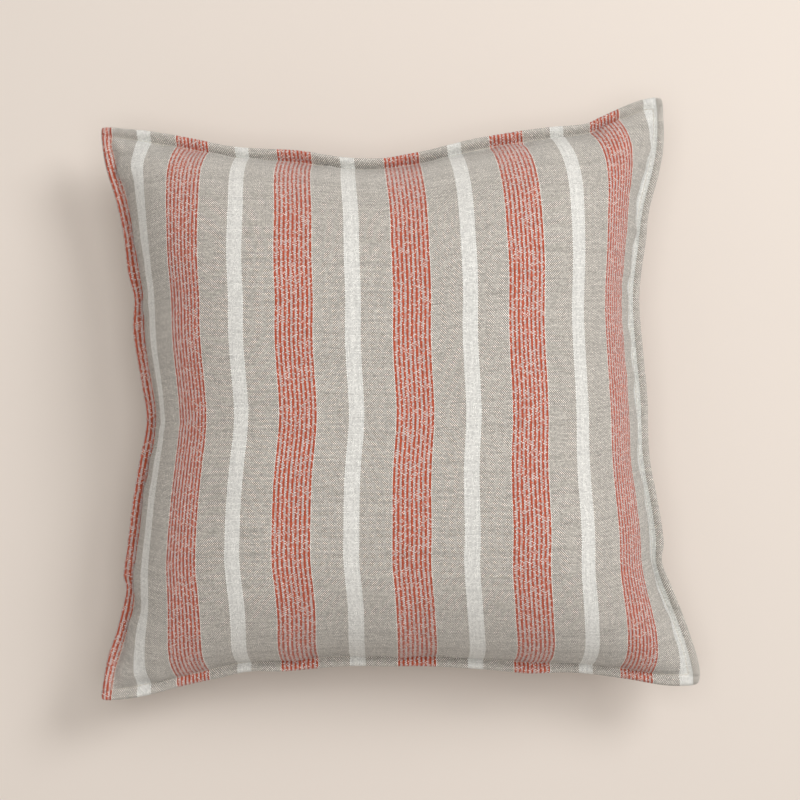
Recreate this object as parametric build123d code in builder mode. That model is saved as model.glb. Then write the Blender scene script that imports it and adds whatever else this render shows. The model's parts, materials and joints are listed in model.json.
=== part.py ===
from build123d import *
import math
import os

# Throw pillow: a striped linen cover with a narrow stitched flange, closed by a zip in its back,
# over a filled ticking insert. It lies on its back: +Z is up out of the front, +Y towards the top
# edge, and the zip runs along X near the bottom edge of the back. All sizes are in millimetres.

# ---- driving dimensions ----
SEAM_HEIGHT = 72.0            # the plane where front and back are sewn together
FRONT_DEPTH = 93.0            # crown of the front above the seam plane
BACK_DEPTH = 80.0             # crown of the back below it, before the floor flattens it
FLANGE = 8.5                  # from the topstitching to the outer edge
CLOTH = 1.0                   # linen with its turned-in hem
HALF_GAP = 0.1                # front and back each stop this far from the seam plane
CORNERS = [(-240.0, -242.0), (240.0, -229.0), (210.0, 242.0), (-240.0, 218.0)]
# How far each side is pulled in from the straight line between its corners, at even steps along it,
# for the bottom, right, top and left sides in turn.
SIDE_PULLS = [
    [12.8, 20.4, 21.0, 15.3, 9.2],
    [18.5, 26.0, 28.5, 30.0, 13.2],
    [19.7, 26.5, 38.0, 27.8, 14.0],
    [16.5, 27.0, 33.5, 25.2, 18.5],
]
FRONT_CROWN = (4.0, 0.68)     # exponents of the front's profile: steep sides, broad top
BACK_CROWN = (2.6, 0.75)      # exponents of the back's profile: a longer slope to the flat
CORNER_CUT = 0.02             # rounds the crowns off just inside the corners of the stitched line
SINK = 4.0                    # how far a crowned surface runs on past the seam plane
MEAN_HALF = 200.0             # about half the stitched width, for moving a surface inwards
LEVELS = [0.0, 0.1, 0.2, 0.32, 0.45, 0.58, 0.7, 0.8, 0.88, 0.94, 0.985]
AROUND = 96                   # points round each contour of a crown
SIDE_STEPS = 120              # look-up points along each side
SEARCH_STEPS = 30             # halvings that find each contour point
CLEAR = 0.05                  # threads and coils stand this far off the cloth that they are sewn to

TICKING = 0.7                 # insert fabric
COVER_ROOM = 2.0              # between the cover and the insert
FILL_ROOM = 0.3               # between the ticking and the filling
INSERT_SEAM = 0.6             # between the two halves of the ticking
CLOSING_LENGTH = 90.0         # hand-closed part of the insert's seam
THREAD_ROOM = (1.8, 2.2)      # the insert's threads lie between these depths under the cover's surface
SEAM_THREAD_HEIGHT = 1.0      # its machine seam, above the seam plane
CLOSING_THREAD_HEIGHT = 2.0   # its hand-sewn stitches beside that
CLOSING_CUT = (150.0, 20.0)   # how far the closed part is cut out of a full ring, along Y and Z

ZIP_Y = -172.0                # the line that the zip runs along
ZIP_HALF = 150.0              # half the length of the coil, along X
ZIP_DEPTH = 36.5              # middle of the zip below the seam plane
ZIP_END_DEPTH = 26.5          # its ends below the seam plane
ZIP_TILT = 31.0               # slope of the back across the zip, in degrees
ZIP_OPENING = 10.4            # between the folded edges of the back panels
ZIP_BLEND_ACROSS = (11.0, 50.0)   # the back follows the zip up to here across it, and is free beyond
ZIP_BLEND_PAST = (14.0, 62.0)     # the same past the ends of the coil
ZIP_RELIEF = 2.5              # extra room for the slider between cover and insert
RELIEF_FADE = (16.0, 45.0)    # across the zip, where that room starts and ends its fade
CUT_HALF = 15.0               # half the thickness of the strips that cut through the back
WINDOW_RUN = 5.0              # how far the opening runs on past the coil
TAPE_RUN = 16.0               # how far the tapes run on past it
STITCH_IN = 2.0               # from a folded edge to its row of stitches
STITCH_SHELL = (10.0, 9.0)    # depths below the seam plane where the shell that holds them starts
TAPE_WIDTH = 12.0
TAPE_THICKNESS = 0.6
TAPE_TOP = -1.5               # heights are from the back's outer surface, outwards
COIL_WIDTH = 2.3
COIL_HEIGHT = 2.0
COIL_GAP = 0.8                # between the two rows of coil, and between the tapes
STOP_LENGTH = 2.4
STOP_ROOM = 0.6
TOP_STOP_RISE = 0.2           # how far each stop stands above the coil
BOTTOM_STOP_RISE = 0.4
THREAD = 0.5

SLIDER_LENGTH = 11.0
SLIDER_WIDTH = 8.6
PLATE = 1.0
SLIDER_ROOM = 0.5
LIP = 0.9
LIP_SHARE = 0.45              # length of the lips, as a share of the slider
NOSE_PAST = 3.2               # how far the slider's front runs past the end of the coil
BRIDGE_HEIGHT = 3.2
BRIDGE_WIDTH = 1.8
BRIDGE_LENGTH = 8.0
BRIDGE_THICK = 0.9
BRIDGE_ROOT = 0.4             # how far its legs run into the plate
BRIDGE_ROUNDS = (1.2, 0.6)    # its corner radii, outside and inside
POST = (1.8, 0.4)
POST_IN = 1.1                 # from the slider's front to the middle of the post
STOP_SPAN = (0.6, 2.8)
PULL_WIDTH = 6.4
PULL_LENGTH = 22.0
PULL_THICK = 1.2
PULL_EYE = (3.2, 6.6)         # the eye that the slider's bridge passes through
PULL_BAR = 1.2                # thickness of the bar that hangs on the bridge
PULL_LIFT = 0.4               # from the slider's plate to that bar
PULL_ROUNDS = (2.4, 0.8)      # corner radii of the pull and of its eye
LABEL_THICK = 0.3
LABEL_SHELL = (4.0, 3.0)      # depths below the seam plane where the layer that holds the labels starts


def side(index, inset):
    """One side of the cover: its end points and the pulled-in points between them."""
    count = len(CORNERS)
    directions = [(1, 1), (-1, 1), (-1, -1), (1, -1)]
    ends = []
    for corner in (index, (index + 1) % count):
        x, y = CORNERS[corner]
        dx, dy = directions[corner]
        ends.append((x + dx * inset, y + dy * inset))
    (ax, ay), (bx, by) = ends
    length = math.hypot(bx - ax, by - ay)
    inward = (-(by - ay) / length, (bx - ax) / length)
    pulls = SIDE_PULLS[index]
    points = [ends[0]]
    for step, pull in enumerate(pulls, start=1):
        t = step / (len(pulls) + 1)
        points.append((ax + (bx - ax) * t + inward[0] * pull, ay + (by - ay) * t + inward[1] * pull))
    points.append(ends[1])
    return points


def outline(inset):
    """The four-cornered outline as a face, inset from the outer edge of the flange."""
    with BuildSketch() as sketch:
        with BuildLine():
            for index in range(len(CORNERS)):
                Spline(*side(index, inset))
        make_face()
    return sketch.sketch


def sampled(points):
    """Evenly spaced points along a side's curve, kept for quick look-up."""
    curve = Spline(*points, mode=Mode.PRIVATE)
    return [(at.X, at.Y) for at in (curve @ (step / SIDE_STEPS) for step in range(SIDE_STEPS + 1))]


DITCH = [sampled(side(index, FLANGE)) for index in range(len(CORNERS))]


def along(index, t):
    """The point a fraction t of the way along one side of the stitched line."""
    position = min(max(t, 0), 1) * SIDE_STEPS
    step = min(int(position), SIDE_STEPS - 1)
    (ax, ay), (bx, by) = DITCH[index][step], DITCH[index][step + 1]
    return Vector(ax + (bx - ax) * (position - step), ay + (by - ay) * (position - step))


def plan_point(u, v):
    """A point inside the stitched line, blended from its four sides; u and v run from 0 to 1."""
    edges = along(0, u) * (1 - v) + along(2, 1 - u) * v + along(3, 1 - v) * (1 - u) + along(1, v) * u
    corners = along(0, 0) * ((1 - u) * (1 - v)) + along(1, 0) * (u * (1 - v))
    corners = corners + along(2, 0) * (u * v) + along(3, 0) * ((1 - u) * v)
    point = edges - corners
    return point.X, point.Y


def crown(p, q, exponents):
    """Relative height of a stuffed square at p and q, each from -1 to 1 across it."""
    power, sharpness = exponents
    level = (1 - abs(p) ** power) * (1 - abs(q) ** power)
    return (max(level - CORNER_CUT, 0) / (1 - CORNER_CUT)) ** sharpness


def fade(value, near, far):
    """1 up to near and 0 beyond far, with a smooth step between."""
    t = min(max((far - value) / (far - near), 0.0), 1.0)
    return t * t * (3 - 2 * t)


# The zip lies on a cone about an axis parallel to Y, so that the slider's travel is one turn about it.
ZIP_RISE = ZIP_DEPTH - ZIP_END_DEPTH
ZIP_RADIUS = (ZIP_HALF ** 2 + ZIP_RISE ** 2) / (2 * ZIP_RISE)
ZIP_CENTRE_Z = SEAM_HEIGHT - ZIP_DEPTH + ZIP_RADIUS
ZIP_END_ANGLE = math.degrees(math.asin(ZIP_HALF / ZIP_RADIUS))
ZIP_AXIS = Axis((0, ZIP_Y, ZIP_CENTRE_Z), (0, -1, 0))
TILT = math.radians(ZIP_TILT)


def front_depth(x, y, p, q, room):
    """Height of the front above the seam plane, less the room; it takes the same values as back_depth."""
    return (FRONT_DEPTH + SINK - room) * crown(p, q, FRONT_CROWN) - SINK


def back_depth(x, y, p, q, room):
    """Depth of the back below the seam plane; near the zip it follows the zip's cone."""
    free = (BACK_DEPTH + SINK - room) * crown(p, q, BACK_CROWN) - SINK
    near = fade(abs(y - ZIP_Y), *ZIP_BLEND_ACROSS) * fade(abs(x) - ZIP_HALF, *ZIP_BLEND_PAST)
    if near > 0:
        radius = ZIP_RADIUS + (y - ZIP_Y) * math.tan(TILT) - room / math.cos(TILT)
        banded = SEAM_HEIGHT - ZIP_CENTRE_Z + math.sqrt(radius ** 2 - x ** 2)
        free += (banded - free) * near
    return free


def contour(depth_at, depth, room, relief):
    """The closed contour of a crowned surface at one depth, as points around it."""
    scale = 1 - room / MEAN_HALF
    points = []
    for step in range(AROUND):
        angle = 2 * math.pi * step / AROUND
        c, s = math.cos(angle), math.sin(angle)
        near, far = 0.0, 1 / max(abs(c), abs(s))
        for _ in range(SEARCH_STEPS):
            middle = (near + far) / 2
            p, q = middle * c, middle * s
            x, y = plan_point((1 + p * scale) / 2, (1 + q * scale) / 2)
            extra = relief * fade(abs(y - ZIP_Y), *RELIEF_FADE)
            if depth_at(x, y, p, q, room + extra) > depth:
                near = middle
            else:
                far = middle
        points.append((x, y))
    return points


def dome(front, room, relief=0.0, gap=0.0):
    """The solid under a crowned surface, from the seam plane outwards; the floor flattens the back."""
    depth_at = front_depth if front else back_depth
    way, depth = (1, FRONT_DEPTH) if front else (-1, BACK_DEPTH)
    with BuildPart(mode=Mode.PRIVATE) as stuffed:
        for level in LEVELS:
            height = (depth + SINK - room) * level - SINK
            with BuildSketch(Plane.XY.offset(SEAM_HEIGHT + way * height)):
                with BuildLine():
                    Spline(*contour(depth_at, height, room, relief), periodic=True)
                make_face()
        loft()
        if front:
            split(bisect_by=Plane.XY.offset(SEAM_HEIGHT + gap), keep=Keep.TOP)
        else:
            split(bisect_by=Plane.XY.offset(SEAM_HEIGHT - gap), keep=Keep.BOTTOM)
            split(bisect_by=Plane.XY.offset(room), keep=Keep.TOP)
    return stuffed.part


def zip_plane(angle):
    """A plane through the zip's axis; its x is along Y from the zip line, its y outwards from the axis."""
    turn = math.radians(angle)
    return Plane(
        origin=(0, ZIP_Y, ZIP_CENTRE_Z),
        x_dir=(0, 1, 0),
        z_dir=(-math.cos(turn), 0, -math.sin(turn)),
    )


def local_plane(angle, lean=0.0):
    """A plane on the zip line; its x is along the zip, its z outwards, leaned by lean degrees."""
    turn = math.radians(angle)
    tip = math.radians(lean)
    outward = Vector(math.sin(turn), 0, -math.cos(turn))
    along = Vector(math.cos(turn), 0, math.sin(turn))
    normal = Vector(0, -math.sin(TILT), 0) + outward * math.cos(TILT)
    origin = Vector(0, ZIP_Y, ZIP_CENTRE_Z) + outward * ZIP_RADIUS
    z_dir = normal * math.cos(tip) + along * math.sin(tip)
    x_dir = along * math.cos(tip) - normal * math.sin(tip)
    return Plane(origin=origin, x_dir=x_dir, z_dir=z_dir)


def zip_strip(low, high, bottom, top, start, end):
    """A strip along the zip: low to high across it, bottom to top outwards, between two angles."""
    corners = []
    for across, out in ((low, bottom), (high, bottom), (high, top), (low, top)):
        y = across * math.cos(TILT) - out * math.sin(TILT)
        radius = ZIP_RADIUS + across * math.sin(TILT) + out * math.cos(TILT)
        corners.append((y, radius))
    with BuildPart(mode=Mode.PRIVATE) as strip:
        with BuildSketch(zip_plane(start)):
            with BuildLine():
                Polyline(*corners, close=True)
            make_face()
        revolve(axis=ZIP_AXIS, revolution_arc=end - start)
    return strip.part


def mm_to_angle(length):
    """The turn about the zip's axis that moves a point of the zip by a length."""
    return math.degrees(length / ZIP_RADIUS)


os.makedirs("parts", exist_ok=True)


def write(piece, name):
    """Label a finished piece and write its STEP file."""
    piece.part.label = name
    export_step(piece.part, f"parts/{name}.step")
    print(name, len(piece.part.solids()), round(piece.part.volume, 1))


# ---- cover ----
with BuildPart() as front_panel:
    with BuildSketch(Plane.XY.offset(SEAM_HEIGHT + HALF_GAP)):
        add(outline(0))
    extrude(amount=CLOTH - HALF_GAP)
    add(dome(True, 0, gap=HALF_GAP))
    add(dome(True, CLOTH, gap=HALF_GAP), mode=Mode.SUBTRACT)
write(front_panel, "front_panel")

with BuildPart() as back_cover:
    with BuildSketch(Plane.XY.offset(SEAM_HEIGHT - HALF_GAP)):
        add(outline(0))
    extrude(amount=-(CLOTH - HALF_GAP))
    add(dome(False, 0, gap=HALF_GAP))
    add(dome(False, CLOTH, gap=HALF_GAP), mode=Mode.SUBTRACT)

WINDOW_END = ZIP_END_ANGLE + mm_to_angle(WINDOW_RUN)
with BuildPart() as zip_window:
    add(zip_strip(-ZIP_OPENING / 2, ZIP_OPENING / 2, -CUT_HALF, CUT_HALF, -WINDOW_END, WINDOW_END))

for name, kept, gap in (("lower", Keep.TOP, HALF_GAP), ("upper", Keep.BOTTOM, -HALF_GAP)):
    with BuildPart() as back_panel:
        add(back_cover.part)
        split(bisect_by=Plane.XZ.offset(gap - ZIP_Y), keep=kept)
        add(zip_window.part, mode=Mode.SUBTRACT)
    write(back_panel, f"back_panel_{name}")

with BuildPart() as flange_topstitch:
    for level, way in ((SEAM_HEIGHT + CLOTH, 1), (SEAM_HEIGHT - CLOTH, -1)):
        with BuildSketch(Plane.XY.offset(level + way * CLEAR)):
            add(outline(FLANGE - 2 * THREAD))
            add(outline(FLANGE - THREAD), mode=Mode.SUBTRACT)
        extrude(amount=way * THREAD)
write(flange_topstitch, "flange_topstitch")

# ---- zip ----
TAPE_END = ZIP_END_ANGLE + mm_to_angle(TAPE_RUN)
TAPE_BOTTOM = TAPE_TOP - TAPE_THICKNESS
COIL_BOTTOM = TAPE_TOP + CLEAR
COIL_TOP = COIL_BOTTOM + COIL_HEIGHT

for name, way in (("lower", -1), ("upper", 1)):
    inner, outer = sorted((way * COIL_GAP / 2, way * (COIL_GAP / 2 + TAPE_WIDTH)))
    with BuildPart() as zip_tape:
        add(zip_strip(inner, outer, TAPE_BOTTOM, TAPE_TOP, -TAPE_END, TAPE_END))
    write(zip_tape, f"zip_tape_{name}")

    inner, outer = sorted((way * COIL_GAP / 2, way * (COIL_GAP / 2 + COIL_WIDTH)))
    with BuildPart() as zip_coil:
        add(zip_strip(inner, outer, COIL_BOTTOM, COIL_TOP, -ZIP_END_ANGLE, ZIP_END_ANGLE))
    write(zip_coil, f"zip_coil_{name}")

STOP_START = ZIP_END_ANGLE + mm_to_angle(STOP_ROOM)
STOP_END = STOP_START + mm_to_angle(STOP_LENGTH)
with BuildPart() as zip_top_stops:
    for way in (-1, 1):
        inner, outer = sorted((way * STOP_SPAN[0], way * STOP_SPAN[1]))
        add(zip_strip(inner, outer, COIL_BOTTOM, COIL_TOP + TOP_STOP_RISE, STOP_START, STOP_END))
write(zip_top_stops, "zip_top_stops")

with BuildPart() as zip_bottom_stop:
    stop_top = COIL_TOP + BOTTOM_STOP_RISE
    add(zip_strip(-STOP_SPAN[1], STOP_SPAN[1], COIL_BOTTOM, stop_top, -STOP_END, -STOP_START))
write(zip_bottom_stop, "zip_bottom_stop")

STITCH_LINE = ZIP_OPENING / 2 + STITCH_IN
with BuildPart() as stitch_rows:
    for way in (-1, 1):
        inner, outer = sorted((way * STITCH_LINE, way * (STITCH_LINE + THREAD)))
        add(zip_strip(inner, outer, -CUT_HALF, CUT_HALF, -WINDOW_END, WINDOW_END))
with BuildPart() as zip_stitching:
    add(dome(False, -THREAD - CLEAR, gap=STITCH_SHELL[0]))
    add(dome(False, -CLEAR, gap=STITCH_SHELL[1]), mode=Mode.SUBTRACT)
    add(stitch_rows.part, mode=Mode.INTERSECT)
write(zip_stitching, "zip_stitching")

# The slider stands at the top stops. Its two plates run above the coil and below the tapes, joined by
# a post ahead of the closed coil, and the bridge on its upper plate holds the pull.
SLIDER_ANGLE = ZIP_END_ANGLE - mm_to_angle(SLIDER_LENGTH / 2 - NOSE_PAST)
PLATE_BOTTOM = COIL_TOP + SLIDER_ROOM
PLATE_TOP = PLATE_BOTTOM + PLATE
LOWER_TOP = TAPE_BOTTOM - SLIDER_ROOM
BAR_OUT = PLATE_TOP + PULL_LIFT + PULL_BAR / 2
slider_base = local_plane(SLIDER_ANGLE)

with BuildPart() as zip_slider:
    with BuildSketch(slider_base.offset(PLATE_BOTTOM)):
        SlotOverall(SLIDER_LENGTH, SLIDER_WIDTH)
    extrude(amount=PLATE)
    with BuildSketch(slider_base.offset(LOWER_TOP - PLATE)):
        SlotOverall(SLIDER_LENGTH, SLIDER_WIDTH)
    extrude(amount=PLATE)
    with BuildSketch(slider_base.offset(TAPE_TOP + SLIDER_ROOM)):
        with Locations((0, SLIDER_WIDTH / 2 - LIP / 2), (0, -SLIDER_WIDTH / 2 + LIP / 2)):
            Rectangle(SLIDER_LENGTH * LIP_SHARE, LIP)
    extrude(amount=PLATE_BOTTOM - TAPE_TOP - SLIDER_ROOM + PLATE / 2)
    with BuildSketch(slider_base.offset(LOWER_TOP - PLATE / 2)):
        with Locations((SLIDER_LENGTH / 2 - POST_IN, 0)):
            Rectangle(*POST)
    extrude(amount=PLATE_BOTTOM - LOWER_TOP + PLATE)
    bridge_side = Plane(
        origin=slider_base.origin + slider_base.z_dir * PLATE_TOP,
        x_dir=slider_base.x_dir,
        z_dir=slider_base.y_dir,
    )
    with BuildSketch(bridge_side):
        with Locations((0, -(BRIDGE_HEIGHT - BRIDGE_ROOT) / 2)):
            RectangleRounded(BRIDGE_LENGTH, BRIDGE_HEIGHT + BRIDGE_ROOT, BRIDGE_ROUNDS[0])
        bridge_inside = BRIDGE_HEIGHT - BRIDGE_THICK
        with Locations((0, -(bridge_inside - BRIDGE_ROOT) / 2)):
            RectangleRounded(
                BRIDGE_LENGTH - 2 * BRIDGE_THICK,
                bridge_inside + BRIDGE_ROOT,
                BRIDGE_ROUNDS[1],
                mode=Mode.SUBTRACT,
            )
    extrude(amount=BRIDGE_WIDTH / 2, both=True)
write(zip_slider, "zip_slider")

# The pull hangs straight down from the bridge by its bar, so its plane leans from the zip's own.
HANG = math.degrees(math.atan(math.tan(math.radians(SLIDER_ANGLE)) / math.cos(TILT)))
bar_point = slider_base.origin + slider_base.z_dir * BAR_OUT
leaned = local_plane(SLIDER_ANGLE, -HANG)
pull_face = Plane(origin=bar_point, x_dir=slider_base.y_dir, z_dir=leaned.x_dir)

with BuildPart() as zip_pull:
    with BuildSketch(pull_face):
        with Locations((0, PULL_LENGTH / 2 - PULL_BAR / 2)):
            RectangleRounded(PULL_WIDTH, PULL_LENGTH, PULL_ROUNDS[0])
        with Locations((0, PULL_EYE[1] / 2 + PULL_BAR / 2)):
            RectangleRounded(PULL_EYE[0], PULL_EYE[1], PULL_ROUNDS[1], mode=Mode.SUBTRACT)
    extrude(amount=PULL_THICK / 2, both=True)
write(zip_pull, "zip_pull")

# ---- insert ----
INSERT = CLOTH + COVER_ROOM
CLOSING_X = -60.0
for name, front in (("front", True), ("back", False)):
    relief = 0 if front else ZIP_RELIEF
    with BuildPart() as ticking:
        add(dome(front, INSERT, relief, gap=INSERT_SEAM / 2))
        add(dome(front, INSERT + TICKING, relief, gap=INSERT_SEAM / 2), mode=Mode.SUBTRACT)
    write(ticking, f"insert_{name}")

FILL = INSERT + TICKING + FILL_ROOM
with BuildPart() as insert_fill:
    add(dome(True, FILL))
    add(dome(False, FILL, ZIP_RELIEF))
write(insert_fill, "insert_fill")


def thread_ring(height):
    """One turn of sewing thread round the ticking, at a height above the seam plane."""
    middle = height + THREAD / 2
    with BuildPart(mode=Mode.PRIVATE) as ring:
        with BuildSketch(Plane.XY.offset(SEAM_HEIGHT + height)):
            for room, mode in ((THREAD_ROOM[0], Mode.ADD), (THREAD_ROOM[1], Mode.SUBTRACT)):
                with BuildLine():
                    Spline(*contour(front_depth, middle, room, 0), periodic=True)
                make_face(mode=mode)
        extrude(amount=THREAD)
    return ring.part


with BuildPart() as insert_seam_thread:
    add(thread_ring(SEAM_THREAD_HEIGHT))
write(insert_seam_thread, "insert_seam_thread")

with BuildPart() as insert_closing_thread:
    add(thread_ring(CLOSING_THREAD_HEIGHT))
    with Locations((CLOSING_X, CORNERS[0][1], SEAM_HEIGHT)):
        Box(CLOSING_LENGTH, *CLOSING_CUT, mode=Mode.INTERSECT)
write(insert_closing_thread, "insert_closing_thread")

# ---- labels ----
# Both lie flat between cover and insert: one is sewn above the zip, the other to the insert's back.
LABEL_ROOM = CLOTH + (COVER_ROOM - LABEL_THICK) / 2
LABELS = {"care_label": (100.0, -138.0, 25.0, 40.0), "insert_label": (-150.0, 30.0, 45.0, 30.0)}
with BuildPart() as label_layer:
    add(dome(False, LABEL_ROOM, gap=LABEL_SHELL[0]))
    add(dome(False, LABEL_ROOM + LABEL_THICK, gap=LABEL_SHELL[1]), mode=Mode.SUBTRACT)
for name, (x, y, width, length) in LABELS.items():
    with BuildPart() as blank_label:
        add(label_layer.part)
        with BuildSketch():
            with Locations((x, y)):
                Rectangle(width, length)
        extrude(amount=SEAM_HEIGHT, mode=Mode.INTERSECT)
    write(blank_label, name)
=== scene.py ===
# %% [markdown]
# # A striped linen throw pillow
# The real pillow is two bags, one inside the other. The outer bag is the cover: a front panel and a
# back panel of striped linen, stitched together a finger's width inside their folded edge, so that a
# narrow flange runs all round. The back is cut in two and joined by a zip. The inner bag is the
# insert, plain ticking full of loose fibre, and it gives the cover its crowned shape.
#
# First we load the measured frame. It says where every piece sits, how big the pillow is and what
# moves. Everything below is in metres, in that same frame, so nothing has to be fitted afterwards.

# %% Load the measured frame
import json
import math

import bpy
import numpy as np
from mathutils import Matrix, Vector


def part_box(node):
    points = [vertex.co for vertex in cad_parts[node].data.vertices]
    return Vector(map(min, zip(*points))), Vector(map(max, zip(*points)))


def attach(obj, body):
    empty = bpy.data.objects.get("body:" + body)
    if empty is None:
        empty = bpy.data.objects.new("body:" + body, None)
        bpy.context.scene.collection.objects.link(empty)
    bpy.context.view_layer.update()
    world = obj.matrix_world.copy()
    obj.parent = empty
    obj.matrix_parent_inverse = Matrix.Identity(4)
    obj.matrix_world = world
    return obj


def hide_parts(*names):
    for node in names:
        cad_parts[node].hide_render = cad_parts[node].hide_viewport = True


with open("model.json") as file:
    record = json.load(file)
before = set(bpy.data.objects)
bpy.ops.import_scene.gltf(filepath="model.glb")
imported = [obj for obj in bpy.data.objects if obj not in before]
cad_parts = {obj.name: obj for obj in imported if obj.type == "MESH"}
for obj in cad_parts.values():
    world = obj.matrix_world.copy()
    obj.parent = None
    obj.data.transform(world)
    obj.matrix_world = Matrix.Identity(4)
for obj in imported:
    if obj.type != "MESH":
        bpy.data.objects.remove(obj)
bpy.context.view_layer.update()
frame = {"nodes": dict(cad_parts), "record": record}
MM = 0.001

# %% [markdown]
# ## The plan of the cover
# Stuffing a flat square bag pulls its sides in and leaves four ears at the corners. The pull is never
# even: the linen gathers here and there, so the edge runs in slow waves with small kinks. We write each
# side as a few points along its folded edge and run a smooth curve through them. A sheared grid or a
# scaled square could give the overall form, but only points listed one by one give each side its own
# character.

# %% The folded edge, side by side, in millimetres
EDGE_POINTS = {
    "bottom": [(-240, -242), (-212, -239), (-176, -231), (-147, -224.5), (-121, -218.5), (-91, -218),
               (-46, -214.5), (-7, -214.5), (29, -214.5), (77, -217.5), (102, -219.8), (138, -219.5),
               (180, -224.5), (214, -229.5), (240, -229)],
    "right": [(240, -229), (239, -212), (230, -183), (216.5, -150), (209, -130), (210.4, -113),
              (205.6, -81), (199.5, -45), (198, 0), (195, 30), (191.5, 75), (193, 100), (196.5, 125),
              (199, 150), (207, 180), (211, 205), (210, 242)],
    "top": [(210, 242), (190, 238), (160, 225), (147, 219.5), (120, 217), (91, 213), (57, 207),
            (24, 198.5), (8, 195.5), (-15, 192), (-44, 192.5), (-83, 198), (-132, 201.5),
            (-165.6, 208), (-199, 213.6), (-240, 218)],
    "left": [(-240, 218), (-236, 188), (-228, 161), (-222, 134), (-217.6, 100), (-212.8, 80),
             (-213.6, 54), (-208, 15), (-203, -17), (-208.4, -49), (-213.6, -81), (-219, -121),
             (-221.6, -141), (-219.5, -154), (-227, -186), (-234, -207), (-240, -242)],
}
FLANGE = 8.8 * MM            # from the stitches to the folded edge
SIDE_SAMPLES = 600
STEPS_BETWEEN = 24           # steps of the smooth curve between two listed points


def smooth_line(points, samples):
    """An evenly spaced smooth curve through a few points."""
    points = np.array(points, float)
    padded = np.vstack([2 * points[0] - points[1], points, 2 * points[-1] - points[-2]])
    steps = np.linspace(0, 1, STEPS_BETWEEN, endpoint=False)[:, None]
    pieces = []
    for a, b, c, d in zip(padded[:-3], padded[1:-2], padded[2:-1], padded[3:]):
        pieces.append(0.5 * (2 * b + (c - a) * steps + (2 * a - 5 * b + 4 * c - d) * steps ** 2
                             + (3 * b - a - 3 * c + d) * steps ** 3))
    return even_spacing(np.vstack(pieces + [points[-1:]]), samples)


def run_along(line):
    """How far along a line each of its points lies."""
    return np.concatenate([[0], np.cumsum(np.linalg.norm(np.diff(line, axis=0), axis=1))])


def even_spacing(line, samples):
    """The same line with its points the same distance apart."""
    run = run_along(line)
    at = np.linspace(0, run[-1], samples)
    return np.stack([np.interp(at, run, line[:, k]) for k in range(line.shape[1])], axis=1)


def softened(line, reach):
    """A line with its small kinks smoothed away over a reach in samples; its ends stay."""
    kernel = np.exp(-0.5 * (np.arange(-3 * reach, 3 * reach + 1) / reach) ** 2)
    kernel /= kernel.sum()
    flip_start = 2 * line[0] - line[1:3 * reach + 1][::-1]
    flip_end = 2 * line[-1] - line[-3 * reach - 1:-1][::-1]
    longer = np.vstack([flip_start, line, flip_end])
    return np.stack([np.convolve(longer[:, k], kernel, "valid") for k in range(line.shape[1])], axis=1)


# Top and left are listed the other way round the cover, so they are turned to run with +X and +Y.
edge = {name: smooth_line(points, SIDE_SAMPLES) * MM for name, points in EDGE_POINTS.items()}
edge["top"] = edge["top"][::-1]
edge["left"] = edge["left"][::-1]
for name, line in edge.items():
    print(name, "edge:", round(float(np.linalg.norm(np.diff(line, axis=0), axis=1).sum()) / MM), "mm")

# %% [markdown]
# ## The stitched line
# The stitches run a flange's width inside the folded edge. They hold the cloth, so they run more
# evenly than the fold does. We take each side's curve, smooth it, and move it inwards.

# %% The stitched line inside the edge
INWARD = {"bottom": 1, "right": 1, "top": -1, "left": -1}
STITCH_EASE = 14             # reach, in samples, over which the stitches ease out the fold's kinks
CORNER_BEND = 8              # a line bends to its corner over one part in this many of its length


def stitched_side(name):
    """The line of stitches along one side, from corner to corner."""
    line = softened(edge[name], STITCH_EASE)
    along = np.gradient(line, axis=0)
    along /= np.linalg.norm(along, axis=1)[:, None]
    inward = np.stack([-along[:, 1], along[:, 0]], axis=1) * INWARD[name]
    run = np.linspace(0, np.linalg.norm(np.diff(line, axis=0), axis=1).sum(), SIDE_SAMPLES)
    keep = (run > FLANGE) & (run < run[-1] - FLANGE)
    return even_spacing((line + inward * FLANGE)[keep], SIDE_SAMPLES)


stitched = {name: stitched_side(name) for name in edge}


def join_corners(lines):
    """Bend the ends of the four lines a little so that they meet."""
    meets = [("bottom", 0, "left", 0), ("bottom", -1, "right", 0), ("top", 0, "left", -1),
             ("top", -1, "right", -1)]
    for first, first_end, second, second_end in meets:
        corner = (lines[first][first_end] + lines[second][second_end]) / 2
        for name, end in ((first, first_end), (second, second_end)):
            shift = corner - lines[name][end]
            weight = np.clip(1 - np.linspace(0, CORNER_BEND, SIDE_SAMPLES), 0, 1)
            weight = weight if end == 0 else weight[::-1]
            lines[name] += weight[:, None] ** 2 * shift


join_corners(stitched)
print("stitched middle width:", round(float(stitched["right"][300, 0] - stitched["left"][300, 0]) / MM, 1))

# %% [markdown]
# ## How the insert fills the cover
# A filled square bag stands steep along its sides and almost flat on top, and it thins out to nothing
# in the corners. One formula gives that crown. The back is the same bag, but the floor flattens it,
# and along the zip it follows the even curve that the slider runs on.

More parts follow.
